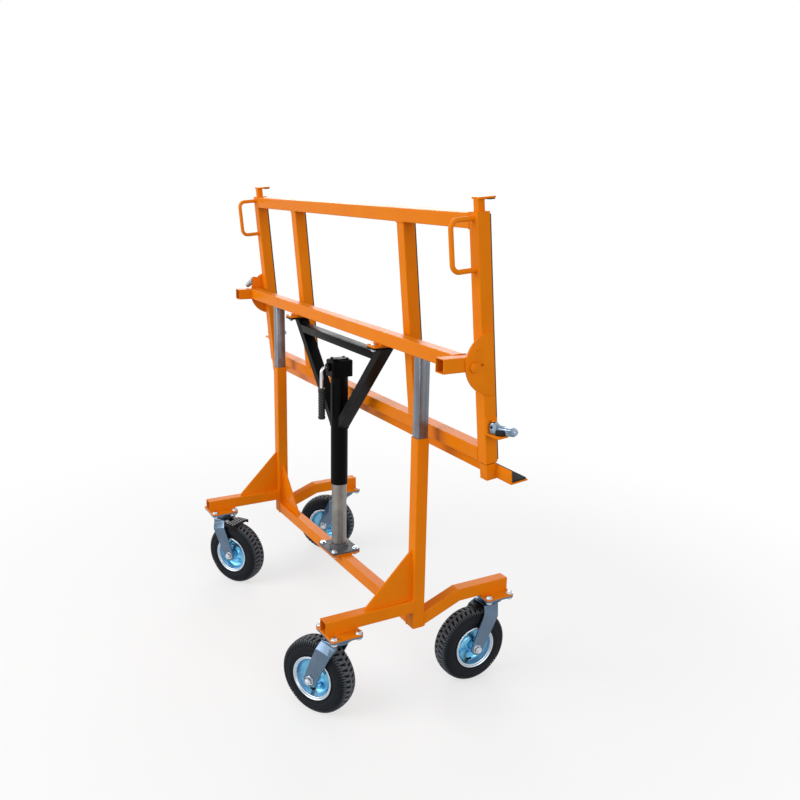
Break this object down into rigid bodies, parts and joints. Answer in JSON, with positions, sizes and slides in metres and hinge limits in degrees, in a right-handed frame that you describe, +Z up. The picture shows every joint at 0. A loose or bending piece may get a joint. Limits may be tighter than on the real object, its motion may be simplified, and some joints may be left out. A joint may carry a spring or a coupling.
{
  "type": "countertop installation cart",
  "caption": "Wheeled cart for carrying and fitting stone worktops: a crank jack raises a mast frame, and a tilting rack holds the slab on a shelf under adjustable hooks.",
  "frame": {"origin": "on the floor under the middle of the cart", "axes": "+X along the beam towards the open cam lever, +Y towards the side that carries the stone, +Z up"},
  "size_m": [1.6396, 0.6787, 1.4667],
  "materials": {
    "orange_paint": "gloss powder coat",
    "black_paint": "satin powder coat",
    "galvanised": "galvanised, dull",
    "zinc": "bright zinc plate",
    "jack_grey": "satin grey",
    "chrome": "bright",
    "bronze": "turned",
    "dark_steel": "oiled",
    "black_rubber": "matte",
    "tyre_rubber": "matte",
    "black_plastic": "moulded"
  },
  "bodies": {
    "base": {"base_posts": "orange_paint", "cross_tube": "orange_paint", "front_feet": "orange_paint", "rear_feet": "orange_paint", "gussets": "orange_paint", "caster_mount_plates": "orange_paint", "caster_top_plates": "zinc", "base_bolts": "zinc", "jack_pad_plate": "orange_paint", "jack_foot_plate": "jack_grey", "jack_inner_tube": "zinc", "jack_nut": "bronze"},
    "lift": {"masts": "galvanised", "lift_beam": "orange_paint", "stub_tubes": "orange_paint", "pivot_bolts": "orange_paint", "bracket_tabs": "orange_paint", "bracket_arms": "black_paint", "bracket_bar": "black_paint", "bracket_bolts": "zinc", "jack_outer_tube": "black_paint", "jack_head": "black_paint", "thrust_bearing": "dark_steel"},
    "screw": {"lead_screw": "dark_steel"},
    "crank": {"crank_rod": "chrome", "crank_grip": "black_plastic"},
    "rack": {"rack_posts": "orange_paint", "top_rail": "orange_paint", "bottom_rail": "orange_paint", "uprights": "orange_paint", "rubber_strips": "black_rubber", "handles": "orange_paint", "pivot_plates": "orange_paint", "post_caps": "orange_paint", "lock_brackets": "orange_paint"},
    "tilt_lock": {"tilt_lock_lever": "zinc"},
    "shelf": {"shelf_tubes": "orange_paint", "shelf_angle": "orange_paint", "shelf_rubber": "black_rubber"},
    "hook_left": {"left_hook": "orange_paint"},
    "hook_right": {"right_hook": "orange_paint"},
    "lever_left": {"left_lock_lever": "zinc"},
    "lever_right": {"right_lock_lever": "zinc"},
    "caster_front_left": {"fork_front_left": "zinc"},
    "wheel_front_left": {"rim_front_left": "zinc", "tyre_front_left": "tyre_rubber"},
    "caster_front_right": {"fork_front_right": "zinc"},
    "wheel_front_right": {"rim_front_right": "zinc", "tyre_front_right": "tyre_rubber"},
    "caster_rear_left": {"fork_rear_left": "zinc"},
    "wheel_rear_left": {"rim_rear_left": "zinc", "tyre_rear_left": "tyre_rubber"},
    "caster_rear_right": {"fork_rear_right": "zinc"},
    "wheel_rear_right": {"rim_rear_right": "zinc", "tyre_rear_right": "tyre_rubber"},
    "brake_front_left": {"pedal_front_left": "black_paint"},
    "brake_rear_right": {"pedal_rear_right": "black_paint"}
  },
  "joints": [
    {"name": "crank_turn", "type": "hinge", "parent": "lift", "child": "crank", "pos_m": [0, 0.02, 0.9069], "axis": [0, 1, 0], "range_deg": [-11998, 5098]},
    {"name": "lift_slide", "type": "slide", "parent": "base", "child": "lift", "axis": [0, 0, 1], "range_m": [-0.2, 0.085]},
    {"name": "screw_turn", "type": "hinge", "parent": "lift", "child": "screw", "pos_m": [0, 0.02, 0.8759], "axis": [0, 0, 1], "range_deg": [-5100, 12000]},
    {"name": "rack_tilt", "type": "hinge", "parent": "lift", "child": "rack", "pos_m": [0, 0.022, 1.0509], "axis": [1, 0, 0], "range_deg": [-5.3, 84.6]},
    {"name": "tilt_lock_turn", "type": "hinge", "parent": "rack", "child": "tilt_lock", "pos_m": [-0.758, 0.01504, 1.109], "axis": [1, 0, 0], "range_deg": [-70, 0]},
    {"name": "shelf_slide", "type": "slide", "parent": "rack", "child": "shelf", "axis": [0, 0.0934, -0.9956], "range_m": [-0.008, 0.15]},
    {"name": "hook_left_slide", "type": "slide", "parent": "rack", "child": "hook_left", "axis": [0, -0.0934, 0.9956], "range_m": [-0.028, 0.2]},
    {"name": "hook_right_slide", "type": "slide", "parent": "rack", "child": "hook_right", "axis": [0, -0.0934, 0.9956], "range_m": [-0.028, 0.2]},
    {"name": "lever_left_turn", "type": "hinge", "parent": "rack", "child": "lever_left", "pos_m": [-0.768, 0.08752, 0.87174], "axis": [0, -0.0934, 0.9956], "range_deg": [0, 75]},
    {"name": "lever_right_turn", "type": "hinge", "parent": "rack", "child": "lever_right", "pos_m": [0.768, 0.08752, 0.87174], "axis": [0, -0.0934, 0.9956], "range_deg": [0, 62]},
    {"name": "swivel_front_left", "type": "hinge", "parent": "base", "child": "caster_front_left", "pos_m": [-0.515, -0.2285, 0.246], "axis": [0, 0, 1], "continuous": true},
    {"name": "roll_front_left", "type": "hinge", "parent": "caster_front_left", "child": "wheel_front_left", "pos_m": [-0.45371, -0.19168, 0.1145], "axis": [-0.515, 0.8572, 0], "continuous": true},
    {"name": "pedal_front_left", "type": "hinge", "parent": "caster_front_left", "child": "brake_front_left", "pos_m": [-0.48929, -0.21305, 0.233], "axis": [-0.515, 0.8572, 0], "range_deg": [0, 4]},
    {"name": "swivel_front_right", "type": "hinge", "parent": "base", "child": "caster_front_right", "pos_m": [0.515, -0.2285, 0.246], "axis": [0, 0, 1], "continuous": true},
    {"name": "roll_front_right", "type": "hinge", "parent": "caster_front_right", "child": "wheel_front_right", "pos_m": [0.45247, -0.26316, 0.1145], "axis": [0.4848, -0.8746, 0], "continuous": true},
    {"name": "swivel_rear_left", "type": "hinge", "parent": "base", "child": "caster_rear_left", "pos_m": [-0.515, 0.29, 0.246], "axis": [0, 0, 1], "continuous": true},
    {"name": "roll_rear_left", "type": "hinge", "parent": "caster_rear_left", "child": "wheel_rear_left", "pos_m": [-0.56556, 0.23944, 0.1145], "axis": [0.7071, -0.7071, 0], "continuous": true},
    {"name": "swivel_rear_right", "type": "hinge", "parent": "base", "child": "caster_rear_right", "pos_m": [0.515, 0.29, 0.246], "axis": [0, 0, 1], "continuous": true},
    {"name": "roll_rear_right", "type": "hinge", "parent": "caster_rear_right", "child": "wheel_rear_right", "pos_m": [0.51375, 0.21851, 0.1145], "axis": [0.9998, -0.0175, 0], "continuous": true},
    {"name": "pedal_rear_right", "type": "hinge", "parent": "caster_rear_right", "child": "brake_rear_right", "pos_m": [0.51448, 0.26, 0.233], "axis": [0.9998, -0.0175, 0], "range_deg": [0, 4]}
  ],
  "couplings": [
    {"joint": "lift_slide", "follows": "crank_turn", "m_per_rad": 0.00095493},
    {"joint": "screw_turn", "follows": "crank_turn", "ratio": -1}
  ]
}
